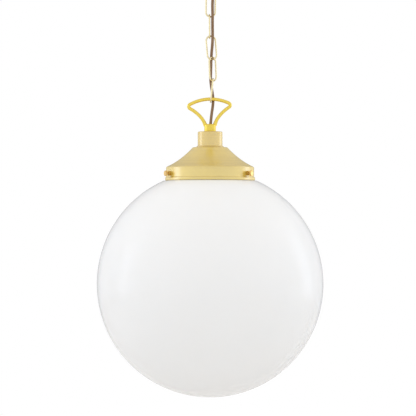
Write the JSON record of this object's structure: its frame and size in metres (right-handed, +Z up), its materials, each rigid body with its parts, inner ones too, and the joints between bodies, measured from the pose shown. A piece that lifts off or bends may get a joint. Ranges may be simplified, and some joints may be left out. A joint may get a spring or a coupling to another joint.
{
  "type": "pendant ceiling light",
  "caption": "Opal glass globe pendant on a spun satin brass gallery, hung from a canopy by an oval-link brass chain with a braided flex.",
  "frame": {"origin": "on the light's axis, at the centre of the mounting plate's top face, which lies against the ceiling", "axes": "+Z up into the ceiling; the suspension loop's fan lies in the XZ plane and -Y is the front"},
  "size_m": [0.3994, 0.3994, 0.8071],
  "materials": {
    "satin_brass": "satin, fine turning lines",
    "cast_brass": "satin cast",
    "chain_brass": "drawn wire, semi-bright",
    "polished_brass": "polished, knurled",
    "zinc_steel": "zinc plated",
    "lamp_metal": "rolled sheet",
    "opal_glass": "glossy, opal white",
    "lamp_glass": "satin, opal",
    "braid": "brown braided cotton",
    "black_plastic": "moulded phenolic",
    "white_plastic": "moulded",
    "ceramic": "glazed",
    "brown_insulation": "smooth sleeve",
    "blue_insulation": "smooth sleeve",
    "earth_insulation": "green and yellow sleeve"
  },
  "bodies": {
    "ceiling_mount": {"mounting_plate": "zinc_steel", "canopy_nipple": "satin_brass", "nipple_nut_upper": "zinc_steel", "nipple_nut_lower": "zinc_steel", "screw_collar": "chain_brass", "earth_screw": "chain_brass", "terminal_block": "white_plastic", "core_brown": "brown_insulation", "core_blue": "blue_insulation", "core_earth": "earth_insulation", "flex": "braid"},
    "canopy": {"canopy": "satin_brass", "canopy_ring_nut": "satin_brass"},
    "chain_link_1": {"chain_link_1": "chain_brass"},
    "chain_link_2": {"chain_link_2": "chain_brass"},
    "chain_link_3": {"chain_link_3": "chain_brass"},
    "chain_link_4": {"chain_link_4": "chain_brass"},
    "chain_link_5": {"chain_link_5": "chain_brass"},
    "chain_link_6": {"chain_link_6": "chain_brass"},
    "fitting": {"suspension_loop": "cast_brass", "fitting_nipple": "satin_brass", "collar": "satin_brass", "gallery": "satin_brass", "gallery_nut": "zinc_steel", "lampholder_cap": "black_plastic", "lampholder_skirt": "black_plastic", "lampholder_insulator": "ceramic", "lampholder_shell": "chain_brass", "lampholder_contact": "chain_brass"},
    "thumb_screw_1": {"thumb_screw_1": "polished_brass"},
    "thumb_screw_2": {"thumb_screw_2": "polished_brass"},
    "thumb_screw_3": {"thumb_screw_3": "polished_brass"},
    "globe": {"glass_globe": "opal_glass"},
    "lamp": {"lamp_cap": "lamp_metal", "lamp_contact": "lamp_metal", "lamp_envelope": "lamp_glass"}
  },
  "joints": [
    {"name": "canopy_lowering", "type": "slide", "parent": "ceiling_mount", "child": "canopy", "axis": [0, 0, -1], "range_m": [0, 0.019]},
    {"name": "link_1_swing", "type": "hinge", "parent": "ceiling_mount", "child": "chain_link_1", "pos_m": [0, 0, -0.0607], "axis": [1, 0, 0], "range_deg": [-15, 15], "deforming": ["flex"]},
    {"name": "link_2_swing", "type": "hinge", "parent": "chain_link_1", "child": "chain_link_2", "pos_m": [0.0004, 0, -0.0973], "axis": [0, 1, 0], "range_deg": [-15, 15], "deforming": ["flex"]},
    {"name": "link_3_swing", "type": "hinge", "parent": "chain_link_2", "child": "chain_link_3", "pos_m": [0.0008, 0, -0.135], "axis": [1, 0, 0], "range_deg": [-15, 15], "deforming": ["flex"]},
    {"name": "link_4_swing", "type": "hinge", "parent": "chain_link_3", "child": "chain_link_4", "pos_m": [-0.0007, 0, -0.1727], "axis": [0, 1, 0], "range_deg": [-15, 15], "deforming": ["flex"]},
    {"name": "link_5_swing", "type": "hinge", "parent": "chain_link_4", "child": "chain_link_5", "pos_m": [0.004, 0, -0.2103], "axis": [1, 0, 0], "range_deg": [-15, 15], "deforming": ["flex"]},
    {"name": "link_6_swing", "type": "hinge", "parent": "chain_link_5", "child": "chain_link_6", "pos_m": [0.0055, 0, -0.2481], "axis": [0.7071, 0.7071, 0], "range_deg": [-15, 15], "deforming": ["flex"]},
    {"name": "fitting_swing", "type": "hinge", "parent": "chain_link_6", "child": "fitting", "pos_m": [0.0009, 0, -0.2857], "axis": [0, 1, 0], "range_deg": [-15, 15], "deforming": ["flex"]},
    {"name": "thumb_screw_1_travel", "type": "slide", "parent": "fitting", "child": "thumb_screw_1", "axis": [-0.8988, -0.4384, 0], "range_m": [-0.0015, 0.0035]},
    {"name": "thumb_screw_2_travel", "type": "slide", "parent": "fitting", "child": "thumb_screw_2", "axis": [0.829, -0.5592, 0], "range_m": [-0.0015, 0.0035]},
    {"name": "thumb_screw_3_travel", "type": "slide", "parent": "fitting", "child": "thumb_screw_3", "axis": [0.0698, 0.9976, 0], "range_m": [-0.0015, 0.0035]},
    {"name": "globe_lowering", "type": "slide", "parent": "fitting", "child": "globe", "axis": [0, 0, -1], "range_m": [0, 0.15]},
    {"name": "lamp_unscrewing", "type": "slide", "parent": "fitting", "child": "lamp", "axis": [0, 0, -1], "range_m": [0, 0.03]}
  ]
}
